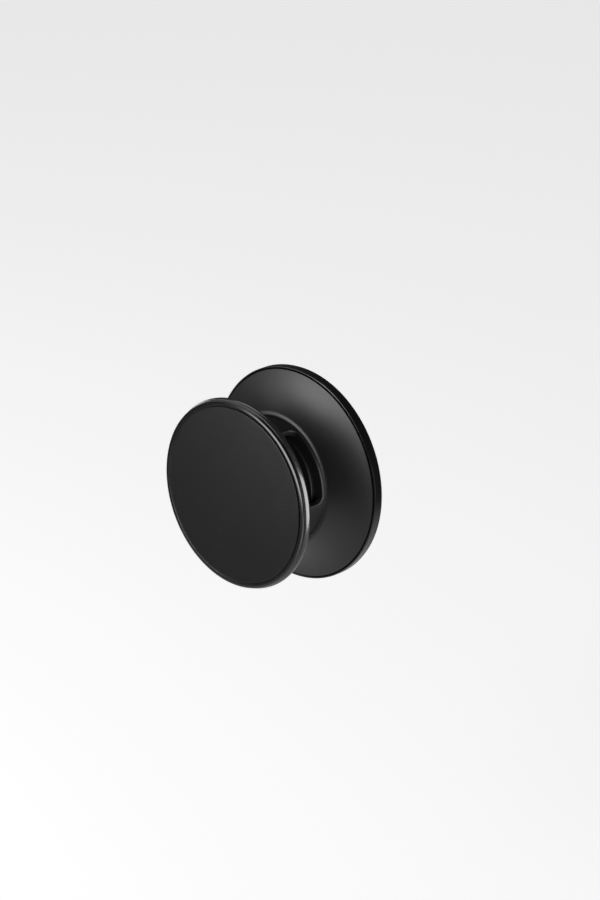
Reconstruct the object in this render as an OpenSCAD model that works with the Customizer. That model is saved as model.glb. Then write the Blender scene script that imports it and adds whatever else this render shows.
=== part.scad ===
// Magnetic phone wall mount: a spool whose small disc sticks to the wall and whose
// magnetic head holds a phone. The head turns on a bush at the end of a windowed collar.
// The axis of the spool is +Y, away from the wall. Z is up. Millimetres.
// Heights called _h are distances from the wall, measured along the axis.

/* [Overall] */
// Distance from the wall to the back of the phone
mount_h = 26.2; // [26:0.1:32]
// Depth of the magnetic head, from the phone to the lip round the collar
head_depth = 9.8; // [9.8:0.1:11]

/* [Wall disc] */
// Diameter of the wall disc over its rear bead
disc_d = 51.9; // [51.9:0.1:56]
// Height of the rear face of the wall disc
disc_h = 2.9; // [2.9:0.1:3.6]
// Thickness of the adhesive pad
pad_t = 0.5; // [0.4:0.05:0.6]
// Step from the rear bead down to the front bead
bead_step = 0.38; // [0.3:0.02:0.6]
// Height of the parting groove between the two beads
groove_h = 0.96; // [0.9:0.02:1.1]

/* [Collar] */
// Outer diameter of the collar
collar_d = 34.8; // [34.8:0.1:38]
// Wall of the collar
collar_wall = 1.8; // [1.6:0.1:2]
// Number of windows round the collar
window_count = 3; // [3]
// Angle that each window takes at the outside of the collar
window_angle = 73; // [60:1:76]
// Direction of the first window, from +X towards +Z
window_first = 30; // [0:5:115]
// Height of the solid band between the wall disc and the windows
window_sill = 4.1; // [3:0.1:6]
// Corner radius of the windows
window_corner = 2; // [1.5:0.1:2.4]

/* [Swivel] */
// Diameter of the boss that the head turns on
boss_d = 15; // [14:0.1:15]
// Wall of the flanged bush round the boss
bush_wall = 0.94; // [0.8:0.02:1]
// Diameter of the steel plate that keeps the head on
retainer_d = 19.4; // [18.6:0.1:19.4]
// Thickness of that plate
retainer_t = 0.8; // [0.6:0.1:1]

/* [Magnetic head] */
// Diameter of the head over its tray
head_d = 58.7; // [58.7:0.1:62]
// Diameter of the trumpet cover
cover_d = 57.2; // [57.2:0.1:57.3]
// Radius of the hollow curve of the trumpet
bell_r = 20; // [19:0.5:24]
// Radius of the lip where it runs into the trumpet
crest_r = 1.4; // [1.2:0.1:1.6]
// Wall of the trumpet cover
shell_t = 1.1; // [1:0.05:1.1]
// Height of the outer wall of the tray
tray_wall_h = 2.5; // [2.4:0.05:2.5]
// Thickness of the soft pad that the phone lies on
face_pad_t = 0.5; // [0.4:0.05:0.6]

/* [Magnets] */
// Outer diameter of the magnet ring
ring_od = 54.6; // [54:0.1:54.6]
// Inner diameter of the magnet ring
ring_id = 46.2; // [46.2:0.1:47]
// Number of arc magnets
magnet_count = 18; // [16:1:18]
// Thickness of the magnets
magnet_t = 0.88; // [0.8:0.02:0.9]

/* [Hidden] */

$fn = 96;

// Clearances: pieces that touch, pieces that turn, and the seam round the wall pad
seat = 0.02;
running = 0.06;
pad_seam = 0.2;

// Wall disc
disc_r = disc_d / 2;
rear_bead_r = (disc_h - groove_h) / 2;
rear_bead_c = disc_r - rear_bead_r;
crown_h = 0.2;
dome_r = 2.6;
roll_r = 0.33;
roll_tilt = 16.8;
front_bead_r = (groove_h - crown_h) / 2;
front_bead_c = disc_r - bead_step - front_bead_r;
rim_in_r = disc_r - 2.35;
step_r = disc_r - 1.1;
step_h = 1.4;
flange_h = disc_h - 0.9;
plate_back_h = flange_h - 0.05;
pad_r = front_bead_c - front_bead_r - pad_seam - 0.65;

// Collar
collar_r = collar_d / 2;
collar_in_r = collar_r - collar_wall;
foot_fillet = 0.8;
lip_h = mount_h - head_depth;
socket_h = lip_h + 1.6;
collar_end_h = socket_h - 0.4;
dish_h = collar_end_h - 1;
web_h = dish_h - 1.5;
dish_r = collar_in_r - 1.5;
window_far_h = lip_h - 0.5;
window_near_h = disc_h + window_sill;

// Posts between the windows, for the screws of the wall plate
post_ring_r = collar_in_r - 2.8;
post_r = 2.5;
post_first = window_first + 180 / window_count;
post_foot_h = plate_back_h + seat;
post_top_h = window_far_h + 0.2;
gusset_t = 1.6;

// Swivel
boss_r = boss_d / 2;
bush_in_r = boss_r + running;
bush_out_r = bush_in_r + bush_wall;
bore_r = bush_out_r + seat;
bush_flange_r = 9.9;
boss_end_h = web_h - 0.8;
retainer_h = boss_end_h - retainer_t;
retainer_screw_ring = 4.9;
washer_in_r = boss_r + 1.2;
washer_out_r = dish_r - 1.7;

// Head cover
cover_r = cover_d / 2;
rim_h = mount_h - 3.1;
socket_r = collar_r + 0.1;
lip_edge_r = 0.3;
crest_c = [socket_r + lip_edge_r, lip_h + crest_r];
bell_c = touching_centre(crest_c, crest_r, [cover_r, rim_h], bell_r);
bell_start = crest_c + (bell_c - crest_c) * crest_r / (bell_r + crest_r);
hub_back_h = socket_h + 1.6;
ledge_h = mount_h - 1.9;
head_post_ring = 18.4;
head_post_r = 2.1;
rib_count = 8;
rib_t = 1;
rib_top_h = hub_back_h + 2.4;

// Tray, yoke and magnets
head_r = head_d / 2;
tray_in_r = cover_r + 0.1;
tray_back_h = mount_h - face_pad_t;
tray_open_h = tray_back_h - tray_wall_h;
tray_floor_h = tray_back_h - 0.8;
pocket_h = tray_back_h - 0.4;
pocket_in_r = ring_id / 2 - 0.6;
pocket_out_r = ring_od / 2 + 0.7;
magnet_h = pocket_h - seat - magnet_t;
yoke_t = 0.36;
separator = 0.5;

// Screws: thread radius, head radius and head height
m2 = [1, 1.9, 1.1];
m2_5 = [1.25, 2.3, 1.15];
insert_wall = 0.6;

// Centre of the circle of radius r through b that touches the circle round c of radius rc
function touching_centre(c, rc, b, r) =
    let (chord = b - c, d = norm(chord), reach = r + rc)
    let (along = (reach * reach - r * r + d * d) / (2 * d), out = [chord[1], -chord[0]] / d)
    c + chord * along / d + out * sqrt(reach * reach - along * along);

// A profile drawn as [radius, height] is turned about the axis of the mount
module turned() rotate([-90, 0, 0]) rotate_extrude() children();

module band(r0, r1, h0, h1) translate([r0, h0]) square([r1 - r0, h1 - h0]);

// A band whose two outer corners are rounded
module eased_band(r0, r1, h0, h1, ease) {
    band(r0, r1 - ease, h0, h1);
    band(r0, r1, h0 + ease, h1 - ease);
    translate([r1 - ease, h0 + ease]) circle(ease, $fn = 32);
    translate([r1 - ease, h1 - ease]) circle(ease, $fn = 32);
}

module rod(r, h0, h1) translate([0, h0, 0]) rotate([-90, 0, 0]) cylinder(r = r, h = h1 - h0);

module taper(r0, r1, h0, h1)
    translate([0, h0, 0]) rotate([-90, 0, 0]) cylinder(r1 = r0, r2 = r1, h = h1 - h0);

// Copies of what is drawn along +X, turned from +X towards +Z
module around(count, first = 0)
    for (i = [0:count - 1]) rotate([0, -(first + i * 360 / count), 0]) children();

module cross_recess(r, h0, h1) {
    translate([-r, h0, -0.25]) cube([2 * r, h1 - h0, 0.5]);
    translate([-0.25, h0, -r]) cube([0.5, h1 - h0, 2 * r]);
}

// Countersunk screw: the flat of its head is at h0 and it points away from the wall
module flat_screw(size, h0, length) difference() {
    union() {
        taper(size[1], size[0], h0, h0 + size[2]);
        rod(size[0], h0, h0 + length);
    }
    cross_recess(size[1] * 0.5, h0 - 1, h0 + 0.6);
}

// The hole that a countersunk screw passes through
module flat_hole(size, h0, through) {
    taper(size[1] + 0.1, size[0] + 0.1, h0, h0 + size[2]);
    rod(size[0] + 0.1, h0 - 0.01, through);
    rod(size[1] + 0.1, h0 - 2, h0 + 0.001);
}

module pan_screw(size, h0, length) difference() {
    union() {
        rod(size[1], h0 - size[2], h0);
        rod(size[0], h0 - 0.1, h0 + length);
    }
    cross_recess(size[1] * 0.5, h0 - size[2] - 1, h0 - size[2] + 0.6);
}

// Brass insert with two knurled collars and a plain waist
module insert(size, h0, h1) turned() difference() {
    union() {
        band(size[0] + seat, size[0] + insert_wall - 0.2, h0, h1);
        band(size[0] + seat, size[0] + insert_wall, h0 + 0.3, h0 + (h1 - h0) * 0.42);
        band(size[0] + seat, size[0] + insert_wall, h0 + (h1 - h0) * 0.58, h1 - 0.3);
    }
}

// Adhesive pad: the mount's own face against the wall
module wall_pad() color([0.2, 0.2, 0.2]) turned() band(0, pad_r, 0, pad_t);

module wall_plate() color([0.08, 0.08, 0.08]) difference() {
    turned() {
        band(0, rim_in_r - 0.1, pad_t, plate_back_h);
        band(0, step_r - seat, pad_t, step_h - seat);
        front_bead();
        band(collar_in_r - 1.3, collar_in_r - 0.1, plate_back_h - 0.1, plate_back_h + 1.2);
    }
    around(window_count, post_first) translate([post_ring_r, 0, 0]) {
        flat_hole(m2_5, pad_t, plate_back_h + 1);
        rod(post_r + 0.2, plate_back_h, plate_back_h + 2);
    }
    around(window_count, post_first)
        translate([post_ring_r, plate_back_h, -1.1]) cube([4, 2, 2.2]);
}

// Front bead: a slightly domed face that rolls over into the parting groove
module front_bead() {
    dome_c = [pad_r + pad_seam + 0.4, crown_h + dome_r];
    roll_c = dome_c + (dome_r - roll_r) * [sin(roll_tilt), -cos(roll_tilt)];
    translate(roll_c) circle(roll_r, $fn = 48);
    intersection() {
        translate(dome_c) circle(dome_r, $fn = 240);
        band(pad_r + pad_seam, roll_c[0], crown_h - 0.1, roll_c[1] + roll_r);
    }
}

module plate_screws() color([0.6, 0.6, 0.6]) around(window_count, post_first)
    translate([post_ring_r, 0, 0]) flat_screw(m2_5, pad_t + 0.02, 8);

module post_inserts() color([0.78, 0.6, 0.25]) around(window_count, post_first)
    translate([post_ring_r, 0, 0]) insert(m2_5, plate_back_h + 0.1, plate_back_h + 5);

// One moulding: the rear shell of the wall disc, the windowed collar and its dished end
module spool_body() color([0.07, 0.07, 0.07]) difference() {
    union() {
        turned() spool_profile();
        around(window_count, post_first) {
            translate([post_ring_r, 0, 0]) rod(post_r, post_foot_h, post_top_h);
            translate([post_ring_r, post_foot_h, -gusset_t / 2])
                cube([collar_in_r - post_ring_r + 0.5, post_top_h - post_foot_h, gusset_t]);
        }
    }
    around(window_count, window_first) window_cutter();
    around(window_count, post_first) translate([post_ring_r, 0, 0]) {
        rod(m2_5[0] + insert_wall + seat, 0, plate_back_h + 5.1);
        rod(m2_5[0] + seat, 0, plate_back_h + 8);
    }
}

module spool_profile() {
    // Rear bead, its stepped seat for the wall plate and the web of the disc
    band(rim_in_r, step_r, step_h, disc_h);
    intersection() {
        translate([rear_bead_c, disc_h - rear_bead_r]) circle(rear_bead_r, $fn = 48);
        band(step_r, disc_r + 1, groove_h + seat, disc_h);
    }
    band(step_r - 0.01, rear_bead_c, groove_h + seat, disc_h);
    band(collar_in_r, rim_in_r + 0.5, flange_h, disc_h);
    // Collar, with a fillet at its foot
    band(collar_in_r, collar_r, flange_h, collar_end_h);
    difference() {
        band(collar_r - 0.1, collar_r + foot_fillet, disc_h - 0.1, disc_h + foot_fillet);
        translate([collar_r + foot_fillet, disc_h + foot_fillet]) circle(foot_fillet, $fn = 48);
    }
    // Dished end: the middle is set towards the wall to leave room for the friction parts
    band(bore_r, dish_r, web_h, dish_h);
    band(dish_r - 1.5, collar_in_r + 0.1, window_far_h, collar_end_h);
}

// A side core forms each window between two planes through the axis, so it draws out freely
module window_cutter() intersection() {
    turned() band(collar_in_r - 0.9, collar_r + 1, window_near_h - 1, window_far_h + 1);
    union() {
        rotate([0, -window_angle / 2, 0]) window_end();
        rotate([0, window_angle / 2, 0]) mirror([0, 0, 1]) window_end();
    }
}

// Half of a window: its end lies in the plane z = 0 and has rounded corners
module window_end() {
    inner = collar_in_r * 0.7;
    depth = collar_r + 2 - inner;
    reach = (collar_r + 1) * sin(window_angle / 2) + 0.3;
    height = window_far_h - window_near_h;
    translate([inner, window_near_h, -reach]) {
        cube([depth, height, reach - window_corner]);
        translate([0, window_corner, 0]) cube([depth, height - 2 * window_corner, reach]);
        for (end = [window_corner, height - window_corner])
            translate([0, end, reach - window_corner])
                rotate([0, 90, 0]) cylinder(r = window_corner, h = depth, $fn = 48);
    }
}

// Flanged bush pressed into the collar's end from inside
module pivot_bush() color([0.85, 0.82, 0.72]) turned() {
    band(bush_in_r, bush_out_r, boss_end_h + 0.06, dish_h - 0.06);
    band(bush_in_r, bush_flange_r, boss_end_h + 0.06, web_h - seat);
}

module retaining_plate() color([0.3, 0.3, 0.32]) difference() {
    turned() eased_band(0, retainer_d / 2, retainer_h, boss_end_h - seat, 0.2);
    around(3, post_first) translate([retainer_screw_ring, 0, 0])
        rod(m2[0] + 0.1, retainer_h - 1, boss_end_h + 1);
}

module retaining_screws() color([0.25, 0.25, 0.27]) around(3, post_first)
    translate([retainer_screw_ring, 0, 0]) pan_screw(m2, retainer_h - seat, 4.6);

module boss_inserts() color([0.78, 0.6, 0.25]) around(3, post_first)
    translate([retainer_screw_ring, 0, 0]) insert(m2, boss_end_h + 0.1, boss_end_h + 3.6);

module friction_washer() color([0.9, 0.9, 0.88])
    turned() band(washer_in_r, washer_out_r, dish_h + 0.04, dish_h + 0.34);

// Conical spring washer: its outer edge bears on the friction washer
module disc_spring() color([0.55, 0.56, 0.58]) turned() polygon([
    [washer_in_r, socket_h - seat - 0.35],
    [washer_in_r, socket_h - seat],
    [washer_in_r + 0.2, socket_h - seat],
    [washer_out_r - 0.1, dish_h + 0.71],
    [washer_out_r - 0.1, dish_h + 0.36],
    [washer_out_r - 0.3, dish_h + 0.36]
]);

module glide_ring() color([0.9, 0.9, 0.88])
    turned() band(dish_r - 1.2, collar_r - 0.2, collar_end_h + 0.04, socket_h - seat);

// Trumpet cover with the socket for the collar, the boss and its stiffening ribs
module head_cover() color([0.1, 0.1, 0.1]) difference() {
    union() {
        turned() cover_profile();
        around(rib_count, 360 / rib_count / 2) rib();
        around(4, 45) translate([head_post_ring, 0, 0])
            rod(head_post_r, hub_back_h - 0.1, tray_floor_h - seat);
    }
    around(3, post_first) translate([retainer_screw_ring, 0, 0]) {
        rod(m2[0] + insert_wall + seat, boss_end_h - 1, boss_end_h + 3.7);
        rod(m2[0] + seat, boss_end_h, boss_end_h + 4.3);
    }
    around(4, 45) translate([head_post_ring, 0, 0]) {
        rod(m2[0] + insert_wall + seat, tray_floor_h - 2.6, tray_floor_h + 1);
        rod(m2[0] + seat, tray_floor_h - 3.8, tray_floor_h);
    }
}

module cover_profile() {
    difference() {
        union() {
            // Trumpet wall, drawn as a hollow arc of even thickness
            intersection() {
                translate(bell_c) circle(bell_r + shell_t, $fn = 180);
                band(crest_c[0], cover_r, bell_start[1], ledge_h - seat);
            }
            // Foot that seats on the ledge of the tray
            band(cover_r - 0.55, cover_r, rim_h - 0.5, ledge_h - seat);
            // Throat round the collar: its lip has a small radius towards the collar
            band(crest_c[0], crest_c[0] + 2, bell_start[1], hub_back_h);
            band(socket_r, crest_c[0] + 0.1, lip_h + lip_edge_r, hub_back_h);
            translate([crest_c[0], lip_h + lip_edge_r]) circle(lip_edge_r, $fn = 32);
            intersection() {
                translate(crest_c) circle(crest_r, $fn = 96);
                band(crest_c[0], crest_c[0] + 2, lip_h - 0.1, crest_c[1]);
            }
        }
        translate(bell_c) circle(bell_r, $fn = 180);
    }
    band(0, socket_r + 0.1, socket_h, hub_back_h);
    // Boss, cored from below, and the ring behind it
    band(2, boss_r, boss_end_h, socket_h + 0.1);
    band(5, 6.6, hub_back_h - 0.1, rib_top_h);
}

// Stiffening rib: its slanted end runs into the trumpet wall
module rib() translate([0, 0, -rib_t / 2]) linear_extrude(rib_t) polygon([
    [6, hub_back_h - 0.1],
    [20.4, hub_back_h - 0.1],
    [22.6, rib_top_h - 0.6],
    [22.6, rib_top_h],
    [6, rib_top_h]
]);

module head_inserts() color([0.78, 0.6, 0.25]) around(4, 45)
    translate([head_post_ring, 0, 0]) insert(m2, tray_floor_h - 2.5, tray_floor_h - 0.5);

module steel_yoke() color([0.62, 0.63, 0.65])
    turned() band(pocket_in_r + 0.2, pocket_out_r - 0.3, magnet_h - seat - yoke_t, magnet_h - seat);

// Frame that spaces the arc magnets evenly round the ring
module magnet_carrier() color([0.15, 0.15, 0.16]) {
    turned() band(pocket_in_r + 0.1, ring_id / 2 - 0.05, magnet_h, magnet_h + magnet_t);
    turned() band(ring_od / 2 + 0.05, pocket_out_r - 0.1, magnet_h, magnet_h + magnet_t);
    around(magnet_count) translate([ring_id / 2 - 0.1, magnet_h, -separator / 2])
        cube([(ring_od - ring_id) / 2 + 0.2, magnet_t, separator]);
}

module magnets() color([0.75, 0.76, 0.78]) {
    gap_angle = 2 * asin((separator / 2 + 0.05) / (ring_id / 2));
    pitch = 360 / magnet_count;
    around(magnet_count, pitch - gap_angle / 2)
        rotate([-90, 0, 0]) rotate_extrude(angle = pitch - gap_angle)
            band(ring_id / 2, ring_od / 2, magnet_h, magnet_h + magnet_t);
}

// Tray that carries the magnets, with the bright outer edge of the head
module head_tray() color([0.06, 0.06, 0.06]) difference() {
    turned() difference() {
        eased_band(0, head_r, tray_open_h, tray_back_h, 0.3);
        band(-1, pocket_out_r, tray_open_h - 1, tray_floor_h);
        band(-1, tray_in_r, tray_open_h - 1, ledge_h);
        band(pocket_in_r, pocket_out_r, tray_open_h, pocket_h);
        translate([0, tray_open_h - 0.1])
            polygon([[tray_in_r, 0], [tray_in_r, 0.3], [tray_in_r + 0.3, 0]]);
    }
    around(4, 45) translate([head_post_ring, tray_back_h + tray_floor_h, 0])
        mirror([0, 1, 0]) flat_hole(m2, tray_floor_h, tray_back_h + 1);
}

module head_screws() color([0.6, 0.6, 0.6]) around(4, 45)
    translate([head_post_ring, tray_back_h - 0.02, 0]) mirror([0, 1, 0]) flat_screw(m2, 0, 4);

// Soft pad that touches the phone
module face_pad() color([0.04, 0.04, 0.04])
    turned() eased_band(0, head_r - 0.25, tray_back_h, mount_h, 0.12);

wall_pad();
wall_plate();
plate_screws();
post_inserts();
spool_body();
pivot_bush();
retaining_plate();
retaining_screws();
boss_inserts();
friction_washer();
disc_spring();
glide_ring();
head_cover();
head_inserts();
steel_yoke();
magnet_carrier();
magnets();
head_tray();
head_screws();
face_pad();
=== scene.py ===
"""Dressed model of a magnetic phone wall mount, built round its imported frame.

The mount is a spool on the +Y axis. Its small disc sticks to the wall, a hollow collar with
three windows carries the magnetic head, and the head swivels on the collar. Outlines are
given in millimetres as (radius, height), where height is the distance from the wall.
"""

import logging
import math
from dataclasses import dataclass
from enum import Enum

import bmesh
import bpy
from mathutils import Matrix, Vector

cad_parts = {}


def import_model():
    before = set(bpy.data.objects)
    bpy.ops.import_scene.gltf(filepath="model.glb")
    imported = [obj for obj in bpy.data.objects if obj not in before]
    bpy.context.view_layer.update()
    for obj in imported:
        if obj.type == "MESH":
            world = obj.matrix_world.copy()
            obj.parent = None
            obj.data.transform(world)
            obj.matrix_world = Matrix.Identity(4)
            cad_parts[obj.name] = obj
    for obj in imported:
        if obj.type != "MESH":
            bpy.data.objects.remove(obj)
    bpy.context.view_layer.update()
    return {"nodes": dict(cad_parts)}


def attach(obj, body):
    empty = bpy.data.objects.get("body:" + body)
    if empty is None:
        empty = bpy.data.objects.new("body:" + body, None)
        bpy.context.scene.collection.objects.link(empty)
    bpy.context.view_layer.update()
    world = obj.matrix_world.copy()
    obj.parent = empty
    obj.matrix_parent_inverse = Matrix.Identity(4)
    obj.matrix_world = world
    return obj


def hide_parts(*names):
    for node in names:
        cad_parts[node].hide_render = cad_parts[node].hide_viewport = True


MM = 0.001
AXIS = Vector((0.0, 1.0, 0.0))
CREASE = 32.0  # degrees past which an edge stays sharp
SUPPORT = 0.05  # millimetres from an eased corner to the points that hold its shading
WELD = 1e-7  # metres below which two points are one
SEAM_WELD = 1e-6  # the same, where the sectors of the collar meet
POST_SEGMENTS = 48

log = logging.getLogger("wall_mount")

Point = tuple[float, float]
Colour = tuple[float, float, float]
Pieces = dict[str, bpy.types.Object]


class Body(Enum):
    """The two rigid bodies of the mount."""

    BASE = "base"
    HEAD = "head"


class Slot(Enum):
    """Material slots of the record for the pieces that are built here."""

    ADHESIVE = "adhesive_pad"
    PLATE = "plate_black"
    SPOOL = "spool_black"
    COVER = "cover_black"
    TRAY = "tray_black"
    FACE = "face_silicone"


def arc(centre: Point, radius: float, start: float, end: float, steps: int) -> list[Point]:
    """Points along an arc of an outline.

    Args:
        centre: Centre of the arc.
        radius: Its radius.
        start: Angle of its first point in degrees, from the radius axis towards the heights.
        end: Angle of its last point.
        steps: Number of straight steps.

    Returns:
        The points, both ends included.
    """
    angles = (math.radians(start + (end - start) * i / steps) for i in range(steps + 1))
    return [(centre[0] + radius * math.cos(a), centre[1] + radius * math.sin(a)) for a in angles]


def eased(corner: Point, before: Point, after: Point, radius: float, steps: int = 5) -> list[Point]:
    """A rounded corner of an outline, with a support point on each side of it.

    Args:
        corner: The sharp corner.
        before: A point on the edge that arrives at it.
        after: A point on the edge that leaves it.
        radius: Radius of the rounding.
        steps: Straight steps along the rounding.

    Returns:
        The points of the rounded corner, in order.
    """
    c = Vector(corner)
    d0 = (Vector(before) - c).normalized()
    d1 = (Vector(after) - c).normalized()
    half = d0.angle(d1) / 2
    reach = radius / math.tan(half)
    centre = c + (d0 + d1).normalized() * (radius / math.sin(half))
    first = c + d0 * reach - centre
    turn = first.angle_signed(c + d1 * reach - centre)
    found = [tuple(c + d0 * (reach + SUPPORT))]
    for i in range(steps + 1):
        spun = Matrix.Rotation(-turn * i / steps, 2) @ first
        found.append(tuple(centre + spun))
    found.append(tuple(c + d1 * (reach + SUPPORT)))
    return found


def turned(bm: bmesh.types.BMesh, outline: list[Point], steps: int) -> None:
    """Spins an outline about the axis of the mount.

    Args:
        bm: The mesh that gets the solid.
        outline: Points as (radius, height). A solid with no bore starts and ends on the axis, and
            in any other the last point joins the first.
        steps: Number of steps round the axis.
    """
    verts = [bm.verts.new((r * MM, h * MM, 0.0)) for r, h in outline]
    chain = list(zip(verts, verts[1:]))
    if outline[0][0] > 0:
        chain.append((verts[-1], verts[0]))
    edges = [bm.edges.new(pair) for pair in chain]
    bmesh.ops.spin(
        bm, geom=verts + edges, cent=(0, 0, 0), axis=AXIS, dvec=(0, 0, 0),
        angle=math.tau, steps=steps, use_merge=True, use_duplicate=False,
    )
    bmesh.ops.remove_doubles(bm, verts=bm.verts[:], dist=WELD)


def around(angle: float) -> Matrix:
    """Turn about the axis of the mount that takes +X to an angle in degrees towards +Z."""
    return Matrix.Rotation(-math.radians(angle), 4, "Y")


def add_post(bm: bmesh.types.BMesh, place: Matrix, radius: float, height: float) -> None:
    """Adds a round post that runs along the axis of the mount.

    Args:
        bm: The mesh that gets the post.
        place: Where its middle goes, in metres.
        radius: Its radius in millimetres.
        height: Its height in millimetres.
    """
    bmesh.ops.create_cone(
        bm, cap_ends=True, segments=POST_SEGMENTS, radius1=radius * MM, radius2=radius * MM,
        depth=height * MM, matrix=place @ Matrix.Rotation(math.pi / 2, 4, "X"),
    )


def finish_piece(
    name: str, bm: bmesh.types.BMesh, material: bpy.types.Material,
    body: Body, nodes: tuple[str, ...],
) -> bpy.types.Object:
    """Makes the object of a finished mesh and hangs it on its body.

    Args:
        name: Name of the piece.
        bm: Its mesh, which is freed.
        material: Its finish.
        body: The body that it moves with.
        nodes: The nodes of the frame that it stands for.

    Returns:
        The object.
    """
    bmesh.ops.remove_doubles(bm, verts=bm.verts[:], dist=WELD)
    bmesh.ops.recalc_face_normals(bm, faces=bm.faces[:])
    mesh = bpy.data.meshes.new(name)
    bm.to_mesh(mesh)
    bm.free()
    mesh.shade_smooth()
    mesh.set_sharp_from_angle(angle=math.radians(CREASE))
    mesh.materials.append(material)
    piece = bpy.data.objects.new(name, mesh)
    bpy.context.scene.collection.objects.link(piece)
    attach(piece, body.value)
    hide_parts(*nodes)
    log.info("%s: %d faces on %s", name, len(mesh.polygons), body.value)
    return piece


class NodeTools:
    """Short ways to build a material's node tree."""

    def __init__(self, tree: bpy.types.NodeTree) -> None:
        """Starts on a tree."""
        self.tree = tree

    def add(self, kind: str, **values: object) -> bpy.types.Node:
        """Adds a node.

        Args:
            kind: Its type name.
            **values: Attributes, or socket defaults where no attribute has the name.

        Returns:
            The node.
        """
        node = self.tree.nodes.new(kind)
        for key, value in values.items():
            if hasattr(node, key):
                setattr(node, key, value)
            else:
                node.inputs[key.replace("_", " ")].default_value = value
        return node

    def link(self, source: bpy.types.NodeSocket, target: bpy.types.NodeSocket) -> None:
        """Joins an output to an input."""
        self.tree.links.new(source, target)


def grain_group() -> bpy.types.NodeTree:
    """The fine spark texture of a moulded surface, shared by all the plastics.

    Returns:
        A group with the inputs Scale, Roughness and Spread, and the outputs Height and Roughness.
    """
    name = "mould_grain"
    if name in bpy.data.node_groups:
        return bpy.data.node_groups[name]
    tree = bpy.data.node_groups.new(name, "ShaderNodeTree")
    for label, value in (("Scale", 4000.0), ("Roughness", 0.4), ("Spread", 0.05)):
        socket = tree.interface.new_socket(label, in_out="INPUT", socket_type="NodeSocketFloat")
        socket.default_value = value
    for label in ("Height", "Roughness"):
        tree.interface.new_socket(label, in_out="OUTPUT", socket_type="NodeSocketFloat")
    t = NodeTools(tree)
    source = t.add("NodeGroupInput")
    result = t.add("NodeGroupOutput")
    place = t.add("ShaderNodeTexCoord")
    grain = t.add("ShaderNodeTexNoise", Detail=3.0)
    cells = t.add("ShaderNodeTexVoronoi")
    wide = t.add("ShaderNodeTexNoise", Scale=90.0, Detail=2.0)
    for texture in (grain, cells, wide):
        t.link(place.outputs["Object"], texture.inputs["Vector"])
    t.link(source.outputs["Scale"], grain.inputs["Scale"])
    t.link(source.outputs["Scale"], cells.inputs["Scale"])
    height = t.add("ShaderNodeMath", operation="ADD")
    t.link(grain.outputs["Fac"], height.inputs[0])
    t.link(cells.outputs["Distance"], height.inputs[1])
    t.link(height.outputs[0], result.inputs["Height"])
    centred = t.add("ShaderNodeMath", operation="SUBTRACT")
    centred.inputs[1].default_value = 0.5
    t.link(wide.outputs["Fac"], centred.inputs[0])
    scaled = t.add("ShaderNodeMath", operation="MULTIPLY_ADD")
    t.link(centred.outputs[0], scaled.inputs[0])
    t.link(source.outputs["Spread"], scaled.inputs[1])
    t.link(source.outputs["Roughness"], scaled.inputs[2])
    t.link(scaled.outputs[0], result.inputs["Roughness"])
    return tree


@dataclass(frozen=True)
class Plastic:
    """A moulded plastic or rubber finish.

    Attributes:
        name: Name of the material.
        colour: Base colour, linear.
        roughness: Mean roughness.
        spread: How far the roughness wanders over the surface.
        grain_size: Size of the mould's texture in millimetres.
        grain_depth: Strength of that texture's bump.
        specular: Specular level.
        tint_scale: Fineness of the faint change of tint.
        tint_range: Share of the base colour at its darkest and at its lightest.
        coat: Weight of the clear top layer.
        coat_roughness: Roughness of the clear top layer.
        bare_from: Height over the wall in millimetres from which that layer is missing, if any.
        bare_blend: Half the width of that change in millimetres.
    """

    name: str
    colour: Colour
    roughness: float
    spread: float = 0.06
    grain_size: float = 0.12
    grain_depth: float = 0.1
    specular: float = 0.5
    tint_scale: float = 260.0
    tint_range: tuple[float, float] = (0.88, 1.12)
    coat: float = 0.0
    coat_roughness: float = 0.12
    bare_from: float | None = None
    bare_blend: float = 0.2

    def build(self) -> bpy.types.Material:
        """Builds the material.

        Returns:
            The material.
        """
        material = bpy.data.materials.new(self.name)
        material.use_nodes = True
        t = NodeTools(material.node_tree)
        shader = material.node_tree.nodes["Principled BSDF"]
        shader.inputs["Specular IOR Level"].default_value = self.specular
        shader.inputs["Coat Weight"].default_value = self.coat
        shader.inputs["Coat Roughness"].default_value = self.coat_roughness
        grain = t.add("ShaderNodeGroup", node_tree=grain_group())
        grain.inputs["Scale"].default_value = 1.0 / (self.grain_size * MM)
        grain.inputs["Roughness"].default_value = self.roughness
        grain.inputs["Spread"].default_value = self.spread
        tint = t.add("ShaderNodeTexNoise", Scale=self.tint_scale, Detail=3.0)
        place = t.add("ShaderNodeTexCoord")
        ramp = t.add("ShaderNodeValToRGB")
        for stop, share in zip(ramp.color_ramp.elements, self.tint_range):
            stop.color = (*(c * share for c in self.colour), 1.0)
        bump = t.add("ShaderNodeBump", Strength=self.grain_depth, Distance=self.grain_size * MM)
        t.link(place.outputs["Object"], tint.inputs["Vector"])
        t.link(tint.outputs["Fac"], ramp.inputs["Fac"])
        t.link(ramp.outputs["Color"], shader.inputs["Base Color"])
        t.link(grain.outputs["Roughness"], shader.inputs["Roughness"])
        t.link(grain.outputs["Height"], bump.inputs["Height"])
        t.link(bump.outputs["Normal"], shader.inputs["Normal"])
        if self.bare_from is not None:
            split = t.add("ShaderNodeSeparateXYZ")
            step = t.add(
                "ShaderNodeMapRange",
                From_Min=(self.bare_from - self.bare_blend) * MM,
                From_Max=(self.bare_from + self.bare_blend) * MM,
                To_Min=self.coat,
                To_Max=0.0,
            )
            t.link(place.outputs["Object"], split.inputs[0])
            t.link(split.outputs["Y"], step.inputs["Value"])
            t.link(step.outputs["Result"], shader.inputs["Coat Weight"])
        return material


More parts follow.
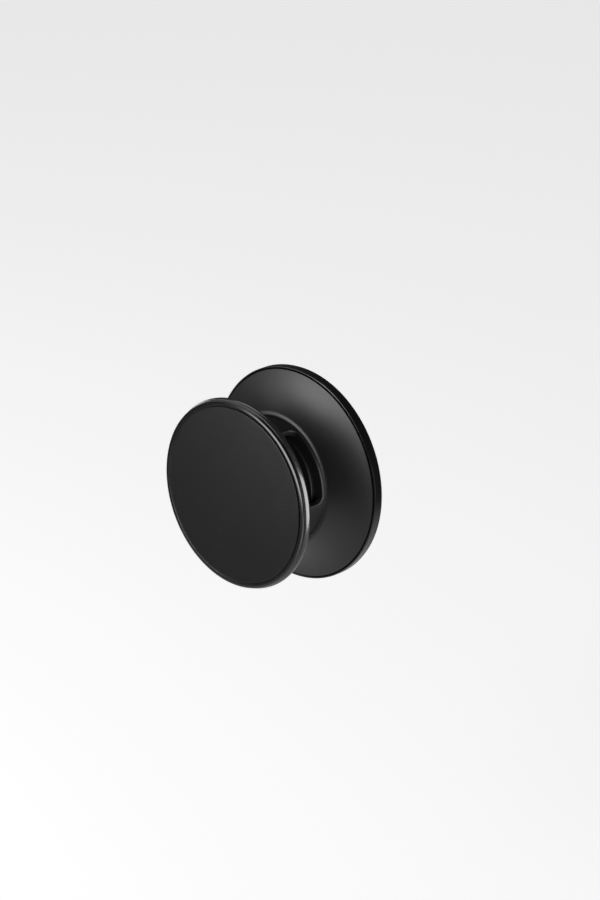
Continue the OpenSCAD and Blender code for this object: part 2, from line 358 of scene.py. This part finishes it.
@dataclass(frozen=True)
class Metal:
    """A plated, oxidised or turned metal finish.

    Attributes:
        name: Name of the material.
        colour: Base colour, linear.
        roughness: Mean roughness.
        metallic: Metallic share.
        spread: How far the roughness wanders over the surface.
        grain_size: Size of the worked surface's texture in millimetres.
        grain_depth: Strength of that texture's bump.
        grain_height: Height of that texture in millimetres.
    """

    name: str
    colour: Colour
    roughness: float
    metallic: float = 1.0
    spread: float = 0.15
    grain_size: float = 0.05
    grain_depth: float = 0.08
    grain_height: float = 0.02

    def build(self) -> bpy.types.Material:
        """Builds the material.

        Returns:
            The material.
        """
        material = bpy.data.materials.new(self.name)
        material.use_nodes = True
        t = NodeTools(material.node_tree)
        shader = material.node_tree.nodes["Principled BSDF"]
        shader.inputs["Base Color"].default_value = (*self.colour, 1.0)
        shader.inputs["Metallic"].default_value = self.metallic
        grain = t.add("ShaderNodeGroup", node_tree=grain_group())
        grain.inputs["Scale"].default_value = 1.0 / (self.grain_size * MM)
        grain.inputs["Roughness"].default_value = self.roughness
        grain.inputs["Spread"].default_value = self.spread
        bump = t.add("ShaderNodeBump", Strength=self.grain_depth, Distance=self.grain_height * MM)
        t.link(grain.outputs["Roughness"], shader.inputs["Roughness"])
        t.link(grain.outputs["Height"], bump.inputs["Height"])
        t.link(bump.outputs["Normal"], shader.inputs["Normal"])
        return material


@dataclass(frozen=True)
class Finishes:
    """Every finish of the mount."""

    pad: Plastic = Plastic(
        "charcoal_pad", (0.004, 0.004, 0.0042), 0.27, spread=0.02, grain_depth=0.01
    )
    plate: Plastic = Plastic(
        "satin_black_plate", (0.006, 0.006, 0.0063), 0.16, 0.02, grain_depth=0.01
    )
    spool: Plastic = Plastic(
        "satin_black_spool", (0.003, 0.003, 0.0032), 0.4, 0.03, grain_depth=0.01, specular=0.12,
        coat=1.0, coat_roughness=0.2, bare_from=3.2
    )
    cover: Plastic = Plastic("satin_black_cover", (0.006, 0.006, 0.0063), 0.42, grain_depth=0.02)
    tray: Plastic = Plastic("matt_black_tray", (0.005, 0.005, 0.005), 0.26, 0.03, grain_depth=0.01)
    face: Plastic = Plastic("black_silicone", (0.006, 0.006, 0.006), 0.7, specular=0.25)
    black_acetal: Plastic = Plastic("black_acetal", (0.012, 0.012, 0.012), 0.4)
    acetal: Plastic = Plastic("natural_acetal", (0.75, 0.74, 0.68), 0.38)
    zinc: Metal = Metal("zinc_plate", (0.6, 0.61, 0.63), 0.28)
    black_steel: Metal = Metal("black_oxide", (0.03, 0.03, 0.032), 0.32, 0.6)
    spring: Metal = Metal("spring_steel", (0.45, 0.44, 0.42), 0.22)
    nickel: Metal = Metal("nickel_plate", (0.7, 0.68, 0.64), 0.14)
    brass: Metal = Metal("turned_brass", (0.75, 0.53, 0.22), 0.25)


@dataclass
class WallDisc:
    """The adhesive pad and the front shell of the small disc.

    The shell's rim is domed towards the wall and rolls over in a bead. Behind it are a step for
    the joint with the rear shell, the inner face and the spigot that centres the collar.
    """

    pad_radius: float = 23.96
    pad_height: float = 0.5
    pad_ease: float = 0.12
    seam: float = 0.2
    seam_ease: float = 0.08
    dome_radius: float = 2.6
    dome_centre: float = 24.55
    dome_start: float = -98.5
    dome_tilt: float = 16.8
    dome_steps: int = 12
    bead_radius: float = 0.33
    bead_steps: int = 14
    crown: float = 0.2
    joint_radius: float = 24.83
    joint_height: float = 0.96
    step_radius: float = 23.5
    step_height: float = 1.38
    inner_height: float = 1.95
    spigot_outer: float = 15.5
    spigot_inner: float = 14.3
    spigot_end: float = 3.15
    steps: int = 256

    def build(self, pad: bpy.types.Material, shell: bpy.types.Material) -> Pieces:
        """Builds both pieces.

        Args:
            pad: Finish of the pad.
            shell: Finish of the front shell.

        Returns:
            The pieces by short names.
        """
        return {"pad": self.build_pad(pad), "shell": self.build_plate(shell)}

    def build_pad(self, material: bpy.types.Material) -> bpy.types.Object:
        """The flat pad that sticks to the wall."""
        bm = bmesh.new()
        r, t = self.pad_radius, self.pad_height
        edge = eased((r, 0.0), (0.0, 0.0), (r, t), self.pad_ease)
        turned(bm, [(0.0, 0.0), *edge, (r, t), (0.0, t)], self.steps)
        return finish_piece("adhesive_pad", bm, material, Body.BASE, ("wall_pad",))

    def build_plate(self, material: bpy.types.Material) -> bpy.types.Object:
        """The front shell with its round bead, its stepped joint and its spigot."""
        bm = bmesh.new()
        inner = self.pad_radius + self.seam
        dome = (self.dome_centre, self.crown + self.dome_radius)
        last = self.dome_tilt - 90
        face = arc(dome, self.dome_radius, self.dome_start, last, self.dome_steps)
        tilt = math.radians(self.dome_tilt)
        bead = (
            face[-1][0] - self.bead_radius * math.sin(tilt),
            face[-1][1] + self.bead_radius * math.cos(tilt),
        )
        outline = [
            (0.0, self.pad_height), (inner, self.pad_height),
            *eased((inner, face[0][1]), (inner, self.pad_height), face[1], self.seam_ease),
            *face[1:-1],
            *arc(bead, self.bead_radius, last, 90, self.bead_steps),
            (self.joint_radius, self.joint_height), (self.joint_radius, self.step_height),
            (self.step_radius, self.step_height), (self.step_radius, self.inner_height),
            (self.spigot_outer, self.inner_height), (self.spigot_outer, self.spigot_end),
            (self.spigot_inner, self.spigot_end), (self.spigot_inner, self.inner_height),
            (0.0, self.inner_height),
        ]
        turned(bm, outline, self.steps)
        return finish_piece("front_shell", bm, material, Body.BASE, ("wall_plate",))


@dataclass
class Spool:
    """The rear shell of the small disc and the windowed collar, one moulding.

    Heights grow from the disc to the collar's end. Angles are in degrees round the axis, from +X
    towards +Z, and each sector of the collar holds one window in its middle.
    """

    collar_radius: float = 17.4
    wall: float = 1.8
    foot_fillet: float = 0.8
    fillet_lead: float = 0.1
    fillet_steps: int = 10
    foot_radius: float = 16.6
    foot_height: float = 2.95
    disc_height: float = 2.9
    bead_radius: float = 0.97
    bead_centre: float = 24.98
    bead_start: float = -88.0
    bead_steps: int = 24
    joint_radius: float = 24.85
    joint_height: float = 0.97
    step_radius: float = 23.6
    step_height: float = 1.4
    inner_height: float = 2.0
    end_height: float = 17.6
    end_radius: float = 15.7
    end_near: float = 15.1
    end_rim: float = 15.92
    end_face: float = 17.55
    end_ease: float = 0.2
    bush_radius: float = 8.52
    seat_radius: float = 12.6
    seat_height: float = 16.6
    dish_radius: float = 14.1
    dish_height: float = 15.9
    post_ring: float = 12.8
    post_radius: float = 2.5
    post_foot: float = 1.97
    post_end: float = 16.1
    gusset_ring: float = 14.6
    gusset_depth: float = 3.4
    gusset_width: float = 1.6
    sector: float = 120.0
    sector_across: int = 80
    sector_up: int = 13
    sector_rings: int = 3
    window_near: float = 7.0
    window_far: float = 15.9
    window_half: float = 36.5
    window_corner: float = 2.0
    window_along: int = 70
    window_side: int = 7
    window_turn: int = 8
    window_first: float = 30.0
    rim_ease: float = 0.35
    rim_segments: int = 6
    rim_angle: float = 25.0
    rim_from: float = 5.0
    steps: int = 240

    @property
    def window_middles(self) -> list[float]:
        """Directions of the middles of the windows in degrees."""
        return [self.window_first + self.sector * i for i in range(round(360 / self.sector))]

    def build(self, material: bpy.types.Material) -> bpy.types.Object:
        """Builds the moulding.

        Args:
            material: Its finish.

        Returns:
            The piece.
        """
        bm = bmesh.new()
        self.add_flange(bm)
        self.add_end(bm)
        self.add_posts(bm)
        self.add_collar(bm)
        return finish_piece("windowed_spool", bm, material, Body.BASE, ("spool_body",))

    def add_flange(self, bm: bmesh.types.BMesh) -> None:
        """The rear shell of the disc, up to the fillet at the collar's foot."""
        bead = (self.bead_centre, self.disc_height - self.bead_radius)
        fillet = (self.collar_radius + self.foot_fillet, self.disc_height + self.foot_fillet)
        outline = [
            (self.foot_radius, self.inner_height), (self.step_radius, self.inner_height),
            (self.step_radius, self.step_height), (self.joint_radius, self.step_height),
            (self.joint_radius, self.joint_height),
            *arc(bead, self.bead_radius, self.bead_start, 90, self.bead_steps),
            (fillet[0] + self.fillet_lead, self.disc_height),
            *arc(fillet, self.foot_fillet, 270, 180, self.fillet_steps),
            (self.foot_radius, fillet[1]),
        ]
        turned(bm, outline, self.steps)

    def add_end(self, bm: bmesh.types.BMesh) -> None:
        """The dished end that carries the bush of the swivel."""
        start = (self.bush_radius, self.end_near)
        corner = (self.dish_radius, self.end_near)
        outline = [
            start, *eased(corner, start, (self.dish_radius, self.dish_height), self.end_ease),
            (self.dish_radius, self.end_rim), (self.end_radius, self.end_rim),
            (self.end_radius, self.end_face), (self.seat_radius, self.end_face),
            (self.seat_radius, self.seat_height), (self.bush_radius, self.seat_height),
        ]
        turned(bm, outline, self.steps)

    def add_posts(self, bm: bmesh.types.BMesh) -> None:
        """Screw posts and their gussets, between the windows."""
        foot, top = self.post_foot, self.post_end
        height, middle = top - foot, (foot + top) / 2 * MM
        post = Matrix.Translation((self.post_ring * MM, middle, 0))
        size = (self.gusset_depth * MM, height * MM, self.gusset_width * MM, 1.0)
        gusset = Matrix.Translation((self.gusset_ring * MM, middle, 0)) @ Matrix.Diagonal(size)
        for angle in self.window_middles:
            turn = around(angle + self.sector / 2)
            add_post(bm, turn @ post, self.post_radius, height)
            bmesh.ops.create_cube(bm, size=1.0, matrix=turn @ gusset)

    def add_collar(self, bm: bmesh.types.BMesh) -> None:
        """The tube with its three windows, whose ends lie in planes through the axis."""
        tube = bmesh.new()
        for middle in self.window_middles:
            self.add_sector(tube, middle)
        bmesh.ops.remove_doubles(tube, verts=tube.verts[:], dist=SEAM_WELD)
        made = bmesh.ops.extrude_face_region(tube, geom=tube.faces[:], use_keep_orig=True)
        inner = [g for g in made["geom"] if isinstance(g, bmesh.types.BMVert)]
        share = 1 - self.wall / self.collar_radius
        bmesh.ops.scale(tube, vec=(share, 1.0, share), verts=inner)
        bmesh.ops.recalc_face_normals(tube, faces=tube.faces[:])
        rims = [e for e in tube.edges if self.is_rim(e)]
        bmesh.ops.bevel(
            tube, geom=rims, offset=self.rim_ease * MM, offset_type="OFFSET",
            segments=self.rim_segments, profile=0.5, affect="EDGES", material=-1,
            clamp_overlap=True,
        )
        mesh = bpy.data.meshes.new("tube")
        tube.to_mesh(mesh)
        tube.free()
        bm.from_mesh(mesh)
        bpy.data.meshes.remove(mesh)

    def add_sector(self, tube: bmesh.types.BMesh, centre: float) -> None:
        """A third of the tube's outer face, with a window in its middle.

        Args:
            tube: The mesh that gets the faces.
            centre: Direction of the window's middle in degrees.
        """
        frame_loop = self.frame_points()
        window_loop = self.window_points()
        rings = []
        for loop in (frame_loop, window_loop):
            verts = [tube.verts.new(self.on_tube(a, h, centre)) for a, h in loop]
            rings.append([tube.edges.new((verts[i - 1], v)) for i, v in enumerate(verts)])
        made = bmesh.ops.bridge_loops(tube, edges=rings[0] + rings[1])
        spokes = [e for e in made["edges"] if e not in rings[0] and e not in rings[1]]
        split = bmesh.ops.subdivide_edges(
            tube, edges=spokes, cuts=self.sector_rings, use_grid_fill=True
        )
        for vert in (g for g in split["geom_inner"] if isinstance(g, bmesh.types.BMVert)):
            flat = Vector((vert.co.x, 0.0, vert.co.z)).normalized() * self.collar_radius * MM
            vert.co = Vector((flat.x, vert.co.y, flat.z))

    def frame_points(self) -> list[Point]:
        """Outline of a third of the tube, as (angle, height), from the middle of its foot."""
        low, high, side = self.foot_height, self.end_height, self.sector / 2
        across, up = self.sector_across, self.sector_up
        step, rise = self.sector / across, (high - low) / up
        foot = [(i * step, low) for i in range(across // 2)]
        right = [(side, low + i * rise) for i in range(up)]
        top = [(side - i * step, high) for i in range(across)]
        left = [(-side, high - i * rise) for i in range(up)]
        rest = [(-side + i * step, low) for i in range(across // 2)]
        return foot + right + top + left + rest

    def window_points(self) -> list[Point]:
        """Outline of a window, as (angle, height), matched point for point to the frame.

        The corners are drawn in the plane across each end of the window, as the side core
        makes them.
        """
        c, half = self.window_corner, self.window_half
        low, high = self.window_near, self.window_far
        along, side, turn = self.window_along, self.window_side, self.window_turn
        rise = (high - low - 2 * c) / side

        def inset(depth: float) -> float:
            """Angle of a point that lies this far inside the window's end."""
            return half - math.degrees(math.asin(depth / self.collar_radius))

        reach = inset(c)
        flat = [i * 2 * reach / along for i in range(along)]
        points = [(a, low) for a in flat[: along // 2]]
        points += [(inset(c - x), low + c + y) for x, y in arc((0, 0), c, -90, 0, turn)[:-1]]
        points += [(half, low + c + i * rise) for i in range(side)]
        points += [(inset(c - x), high - c + y) for x, y in arc((0, 0), c, 0, 90, turn)[:-1]]
        points += [(reach - a, high) for a in flat]
        points += [(-inset(c + x), high - c + y) for x, y in arc((0, 0), c, 90, 180, turn)[:-1]]
        points += [(-half, high - c - i * rise) for i in range(side)]
        points += [(-inset(c + x), low + c + y) for x, y in arc((0, 0), c, 180, 270, turn)[:-1]]
        points += [(a - reach, low) for a in flat[: along // 2]]
        return points

    def on_tube(self, angle: float, height: float, centre: float) -> Vector:
        """A point on the outer face of the tube."""
        a = math.radians(angle + centre)
        r = self.collar_radius * MM
        return Vector((r * math.cos(a), height * MM, r * math.sin(a)))

    def is_rim(self, edge: bmesh.types.BMEdge) -> bool:
        """Whether an edge is the outer or inner edge of a window or of the tube's far end."""
        if len(edge.link_faces) != 2 or edge.calc_face_angle(0.0) < math.radians(self.rim_angle):
            return False
        return all(v.co.y > self.rim_from * MM for v in edge.verts)


@dataclass
class Head:
    """The trumpet cover, the tray and the soft pad that the phone lies on.

    Heights grow from the lip to the phone. The inner curve of the trumpet is given by how many
    degrees it starts past the rim and by the angle at which it ends.
    """

    lip_height: float = 16.4
    lip_edge: float = 0.3
    lip_steps: int = 10
    crest: float = 1.4
    crest_steps: int = 20
    socket_radius: float = 17.5
    socket_height: float = 18.0
    boss_bore: float = 2.0
    boss_radius: float = 7.5
    boss_height: float = 14.3
    cover_radius: float = 28.6
    cover_ease: float = 0.2
    rim_height: float = 23.1
    ledge_height: float = 24.28
    ledge_width: float = 0.55
    bell_radius: float = 20.0
    bell_steps: int = 48
    shell: float = 1.1
    inner_start: float = 2.2
    inner_end: float = 132.0
    inner_steps: int = 24
    floor_height: float = 19.6
    ring_outer: float = 6.6
    ring_inner: float = 5.0
    rib_count: int = 8
    rib_width: float = 1.0
    rib_foot: float = 19.5
    rib_height: float = 22.0
    rib_step: float = 0.6
    rib_inner: float = 6.0
    rib_outer_low: float = 20.4
    rib_outer_high: float = 22.6
    post_count: int = 4
    post_ring: float = 18.4
    post_radius: float = 2.1
    post_gap: float = 0.82
    head_radius: float = 29.35
    tray_open: float = 23.2
    tray_back: float = 25.7
    tray_gap: float = 0.1
    tray_ease: float = 0.3
    tray_ledge: float = 24.3
    yoke_radius: float = 22.5
    yoke_height: float = 24.9
    pocket_radius: float = 28.0
    pocket_height: float = 25.3
    face_height: float = 26.2
    face_inset: float = 0.25
    face_ease: float = 0.15
    steps: int = 256

    def bell(self) -> tuple[Vector, Vector]:
        """The trumpet's hollow curve, which runs smoothly out of the lip.

        Returns:
            The centre of the lip's rounding and the centre of the hollow curve.
        """
        lip = Vector((self.socket_radius + self.lip_edge, self.lip_height + self.crest))
        chord = Vector((self.cover_radius, self.rim_height)) - lip
        out = Vector((chord.y, -chord.x)).normalized()
        reach = self.bell_radius + self.crest
        along = (reach**2 - self.bell_radius**2 + chord.length_squared) / (2 * chord.length)
        return lip, lip + chord.normalized() * along + out * math.sqrt(reach**2 - along**2)

    def build(self, cover: bpy.types.Material, tray: bpy.types.Material,
              face: bpy.types.Material) -> Pieces:
        """Builds the three outer pieces of the head.

        Args:
            cover: Finish of the trumpet cover.
            tray: Finish of the tray.
            face: Finish of the soft pad.

        Returns:
            The pieces by short names.
        """
        return {
            "cover": self.build_cover(cover),
            "tray": self.build_tray(tray),
            "face": self.build_face(face),
        }

    def build_cover(self, material: bpy.types.Material) -> bpy.types.Object:
        """The trumpet with its lip, its socket and the boss that turns in the collar."""
        lip, centre = self.bell()
        end = (self.cover_radius, self.rim_height)
        meet = math.degrees(math.atan2(centre.y - lip.y, centre.x - lip.x))
        last = math.degrees(math.atan2(end[1] - centre.y, end[0] - centre.x))
        trumpet = arc(tuple(centre), self.bell_radius, meet + 180, last, self.bell_steps)
        inner = arc(
            tuple(centre), self.bell_radius + self.shell, last + self.inner_start,
            self.inner_end, self.inner_steps,
        )
        edge = (lip.x, self.lip_height + self.lip_edge)
        ledge = self.ledge_height
        bore = (self.boss_bore, self.boss_height)
        boss = (self.boss_radius, self.boss_height)
        outline = [
            (0.0, self.socket_height), (self.boss_bore, self.socket_height), bore,
            *eased(boss, bore, (self.boss_radius, self.socket_height), self.cover_ease),
            (self.boss_radius, self.socket_height), (self.socket_radius, self.socket_height),
            *arc(edge, self.lip_edge, -180, -90, self.lip_steps)[:-1],
            *arc(tuple(lip), self.crest, -90, meet, self.crest_steps),
            *trumpet[1:-2],
            *eased(end, trumpet[-2], (end[0], ledge), self.cover_ease)[1:],
            (self.cover_radius, ledge), (self.cover_radius - self.ledge_width, ledge),
            *inner,
            (self.ring_outer, self.floor_height), (self.ring_outer, self.rib_height),
            (self.ring_inner, self.rib_height), (self.ring_inner, self.floor_height),
            (0.0, self.floor_height),
        ]
        bm = bmesh.new()
        turned(bm, outline, self.steps)
        self.add_ribs(bm)
        self.add_head_posts(bm)
        return finish_piece("trumpet_cover", bm, material, Body.HEAD, ("head_cover",))

    def add_ribs(self, bm: bmesh.types.BMesh) -> None:
        """Stiffening ribs behind the socket, whose slanted ends meet the trumpet."""
        low, top, half = self.rib_foot, self.rib_height, self.rib_width / 2
        side = [
            (self.rib_inner, low), (self.rib_outer_low, low),
            (self.rib_outer_high, top - self.rib_step), (self.rib_outer_high, top),
            (self.rib_inner, top),
        ]
        for i in range(self.rib_count):
            turn = around(360 / self.rib_count * (i + 0.5))
            verts = [bm.verts.new((r * MM, h * MM, -half * MM)) for r, h in side]
            face = bm.faces.new(verts)
            made = bmesh.ops.extrude_face_region(bm, geom=[face])["geom"]
            far = [g for g in made if isinstance(g, bmesh.types.BMVert)]
            bmesh.ops.translate(bm, verts=far, vec=(0, 0, self.rib_width * MM))
            bmesh.ops.transform(bm, matrix=turn, verts=verts + far)

    def add_head_posts(self, bm: bmesh.types.BMesh) -> None:
        """Posts for the screws of the tray."""
        low, top = self.rib_foot, self.tray_back - self.post_gap
        place = Matrix.Translation((self.post_ring * MM, (low + top) / 2 * MM, 0))
        for i in range(self.post_count):
            turn = around(360 / self.post_count * (i + 0.5))
            add_post(bm, turn @ place, self.post_radius, top - low)

    def build_tray(self, material: bpy.types.Material) -> bpy.types.Object:
        """The tray with its rounded outer edge and its pocket for the magnets."""
        r, low, back = self.head_radius, self.tray_open, self.tray_back
        bore, ease = self.cover_radius + self.tray_gap, self.tray_ease
        outline = [
            (0.0, self.yoke_height), (self.yoke_radius, self.yoke_height),
            (self.yoke_radius, self.pocket_height), (self.pocket_radius, self.pocket_height),
            (self.pocket_radius, self.tray_ledge), (bore, self.tray_ledge),
            (bore, low + ease), (bore + ease, low),
            *eased((r, low), (bore + ease, low), (r, back), ease),
            *eased((r, back), (r, low), (0.0, back), ease),
            (0.0, back),
        ]
        bm = bmesh.new()
        turned(bm, outline, self.steps)
        return finish_piece("magnet_tray", bm, material, Body.HEAD, ("head_tray",))

    def build_face(self, material: bpy.types.Material) -> bpy.types.Object:
        """The soft pad that the phone lies on."""
        r, low, high = self.head_radius - self.face_inset, self.tray_back, self.face_height
        edge = eased((r, high), (r, low), (0.0, high), self.face_ease)
        bm = bmesh.new()
        turned(bm, [(0.0, low), (r, low), *edge, (0.0, high)], self.steps)
        return finish_piece("phone_face", bm, material, Body.HEAD, ("face_pad",))


@dataclass(frozen=True)
class SoftBox:
    """A rectangular soft light that faces the mount.

    Attributes:
        name: Name of the light.
        azimuth: Its direction in degrees from -Y, towards +X.
        elevation: Its height in degrees.
        width: Its width in metres.
        height: Its height in metres.
        radiance: How bright its face is, where 1 is the white surround.
        distance: Its distance from the mount in metres.
        lit: The only pieces it lights, or none to light them all. They are lit as if the disc
            in front of them cast no shadow.
        spared: Pieces it leaves out, because they have a light of their own.
    """

    name: str
    azimuth: float
    elevation: float
    width: float
    height: float
    radiance: float
    distance: float = 0.7
    lit: tuple[str, ...] = ()
    spared: tuple[str, ...] = ()

    def build(self) -> bpy.types.Object:
        """Makes the light.

        Returns:
            The light's object.
        """
        data = bpy.data.lights.new(self.name, "AREA")
        data.shape = "RECTANGLE"
        data.size, data.size_y = self.width, self.height
        data.energy = math.pi * self.width * self.height * self.radiance
        light = bpy.data.objects.new(self.name, data)
        light.visible_camera = False
        way = direction(self.azimuth, self.elevation)
        turn = way.to_track_quat("Z", "Y").to_matrix().to_4x4()
        light.matrix_world = Matrix.Translation(way * self.distance) @ turn
        bpy.context.scene.collection.objects.link(light)
        return light

    def link(self, light: bpy.types.Object, pieces: Pieces) -> None:
        """Keeps the light to its own pieces.

        Args:
            light: The light's object.
            pieces: The outer pieces by name.
        """
        if not self.lit and not self.spared:
            return
        group = bpy.data.collections.new(f"{self.name}_pieces")
        for name in self.lit or self.spared:
            group.objects.link(pieces[name])
        if self.spared:
            for member in group.collection_objects:
                member.light_linking.link_state = "EXCLUDE"
        else:
            light.light_linking.blocker_collection = group
        light.light_linking.receiver_collection = group


def direction(azimuth: float, elevation: float) -> Vector:
    """Unit vector to an azimuth from -Y towards +X and an elevation, in degrees."""
    a, e = math.radians(azimuth), math.radians(elevation)
    return Vector((math.sin(a) * math.cos(e), -math.cos(a) * math.cos(e), math.sin(e)))


def grey(level: float) -> tuple[float, float, float, float]:
    """An opaque grey."""
    return (level, level, level, 1.0)


@dataclass
class Studio:
    """The camera, the soft lights, the pale floor and the surround.

    Angles are in degrees and lengths in metres, but the focal length and the sensor are in
    millimetres. The surround lists heights of a direction, from -1 below to 1 above, with the
    brightness there.
    """

    azimuth: float = 44.0
    elevation: float = 19.84
    roll: float = -0.38
    distance: float = 0.8947
    aim: tuple[float, float, float] = (-0.0004, 0.0259, 0.0057)
    focal: float = 134.0
    sensor: float = 36.0
    clip: tuple[float, float] = (0.05, 20.0)
    floor_height: float = -0.0894
    floor_size: float = 4.0
    floor_grey: float = 0.6
    floor_roughness: float = 0.9
    floor_glow: float = 0.75
    backdrop: float = 0.86
    boxes: tuple[SoftBox, ...] = (
        SoftBox("front_box", -18, 12, 0.34, 0.54, 6.5, spared=("pad", "shell", "cover")),
        SoftBox("cover_box", -24, 14, 0.34, 0.54, 7.0, lit=("cover",)),
        SoftBox("bead_box", -20, -8, 0.46, 0.22, 8.0, lit=("shell",)),
        SoftBox("low_bead_box", 25, -32, 0.9, 0.3, 2.2, lit=("shell",)),
        SoftBox("pad_box", -19, 5, 0.2, 0.2, 7.0, lit=("pad",), distance=0.3),
        SoftBox("left_box", -48, 28, 0.55, 0.45, 1.4, spared=("pad",)),
        SoftBox("right_box", 102, -5, 0.4, 0.4, 1.2),
        SoftBox("right_edge_box", 82, -4, 1.5, 0.72, 10.0, lit=("spool",)),
        SoftBox("left_edge_box", -97, 8, 0.2, 0.3, 5.0, lit=("shell", "spool")),
        SoftBox("upper_edge_box", -110, 65, 0.5, 0.4, 2.0, lit=("shell", "spool")),
        SoftBox("top_edge_box", -8, 62, 0.24, 0.3, 8.0, lit=("tray",)),
    )
    surround: tuple[tuple[float, float], ...] = (
        (-1.0, 0.85), (-0.72, 0.75), (-0.54, 0.55), (-0.44, 0.2), (-0.36, 0.08), (0.0, 0.06),
        (1.0, 0.05),
    )

    def build(self, pieces: Pieces) -> None:
        """Sets up the camera, the lights, the floor and the surround.

        Args:
            pieces: The outer pieces by the names the soft lights use for them.
        """
        self.add_camera()
        self.add_floor()
        for box in self.boxes:
            box.link(box.build(), pieces)
        self.add_surround()
        bpy.context.scene.view_settings.view_transform = "Standard"

    def add_camera(self) -> None:
        """The camera at the photograph's angle."""
        data = bpy.data.cameras.new("view")
        data.lens = self.focal
        data.sensor_width = self.sensor
        data.clip_start, data.clip_end = self.clip
        camera = bpy.data.objects.new("view", data)
        back = direction(self.azimuth, self.elevation)
        turn = (-back).to_track_quat("-Z", "Y").to_matrix().to_4x4()
        spin = Matrix.Rotation(math.radians(self.roll), 4, "Z")
        place = Matrix.Translation(Vector(self.aim) + back * self.distance)
        camera.matrix_world = place @ turn @ spin
        bpy.context.scene.collection.objects.link(camera)
        bpy.context.scene.camera = camera

    def add_floor(self) -> None:
        """A plain pale floor well below the mount, which doesn't mirror in it."""
        bm = bmesh.new()
        bmesh.ops.create_grid(
            bm, x_segments=1, y_segments=1, size=self.floor_size,
            matrix=Matrix.Translation((0, 0, self.floor_height)),
        )
        mesh = bpy.data.meshes.new("floor")
        bm.to_mesh(mesh)
        bm.free()
        material = bpy.data.materials.new("pale_floor")
        material.use_nodes = True
        shader = material.node_tree.nodes["Principled BSDF"]
        shader.inputs["Base Color"].default_value = grey(self.floor_grey)
        shader.inputs["Roughness"].default_value = self.floor_roughness
        shader.inputs["Emission Color"].default_value = grey(1.0)
        shader.inputs["Emission Strength"].default_value = self.floor_glow
        mesh.materials.append(material)
        floor = bpy.data.objects.new("floor", mesh)
        floor.visible_glossy = False
        bpy.context.scene.collection.objects.link(floor)

    def add_surround(self) -> None:
        """The surround: light below and darker above, but plain and pale for the camera."""
        world = bpy.data.worlds.new("studio")
        world.use_nodes = True
        t = NodeTools(world.node_tree)
        shader = world.node_tree.nodes["Background"]
        place = t.add("ShaderNodeTexCoord")
        split = t.add("ShaderNodeSeparateXYZ")
        spread = t.add("ShaderNodeMapRange", From_Min=-1.0)
        ramp = t.add("ShaderNodeValToRGB")
        while len(ramp.color_ramp.elements) < len(self.surround):
            ramp.color_ramp.elements.new(0.5)
        top = max(level for _, level in self.surround)
        for stop, (height, level) in zip(ramp.color_ramp.elements, self.surround):
            stop.position = (height + 1) / 2
            stop.color = grey(level / top)
        t.link(place.outputs["Generated"], split.inputs[0])
        t.link(split.outputs["Z"], spread.inputs["Value"])
        t.link(spread.outputs["Result"], ramp.inputs["Fac"])
        t.link(ramp.outputs["Color"], shader.inputs["Color"])
        shader.inputs["Strength"].default_value = top
        path = t.add("ShaderNodeLightPath")
        plain = t.add("ShaderNodeBackground", Color=grey(self.backdrop))
        either = t.add("ShaderNodeMixShader")
        out = world.node_tree.nodes["World Output"]
        t.link(path.outputs["Is Camera Ray"], either.inputs["Fac"])
        t.link(shader.outputs["Background"], either.inputs[1])
        t.link(plain.outputs["Background"], either.inputs[2])
        t.link(either.outputs["Shader"], out.inputs["Surface"])
        bpy.context.scene.world = world


INNER_FINISHES = {
    "plate_screws": "zinc",
    "post_inserts": "brass",
    "pivot_bush": "black_acetal",
    "retaining_plate": "black_steel",
    "retaining_screws": "black_steel",
    "boss_inserts": "brass",
    "friction_washer": "acetal",
    "disc_spring": "spring",
    "glide_ring": "acetal",
    "head_inserts": "brass",
    "steel_yoke": "zinc",
    "magnet_carrier": "black_acetal",
    "magnets": "nickel",
    "head_screws": "zinc",
}


def dress_inner_nodes(frame: dict, built: dict[str, bpy.types.Material]) -> None:
    """Gives every inner node of the frame its finish.

    Args:
        frame: What the frame loader returned.
        built: The materials by the name of their finish.
    """
    for name, finish in INNER_FINISHES.items():
        data = frame["nodes"][name].data
        data.materials.clear()
        data.materials.append(built[finish])


def main() -> None:
    """Builds the whole scene."""
    logging.basicConfig(level=logging.INFO, format="%(name)s: %(message)s")
    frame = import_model()
    finishes = Finishes()
    built = {name: getattr(finishes, name).build() for name in finishes.__dataclass_fields__}
    pieces = WallDisc().build(built["pad"], built["plate"])
    pieces["spool"] = Spool().build(built["spool"])
    pieces.update(Head().build(built["cover"], built["tray"], built["face"]))
    dress_inner_nodes(frame, built)
    Studio().build(pieces)


if __name__ == "__main__":
    main()
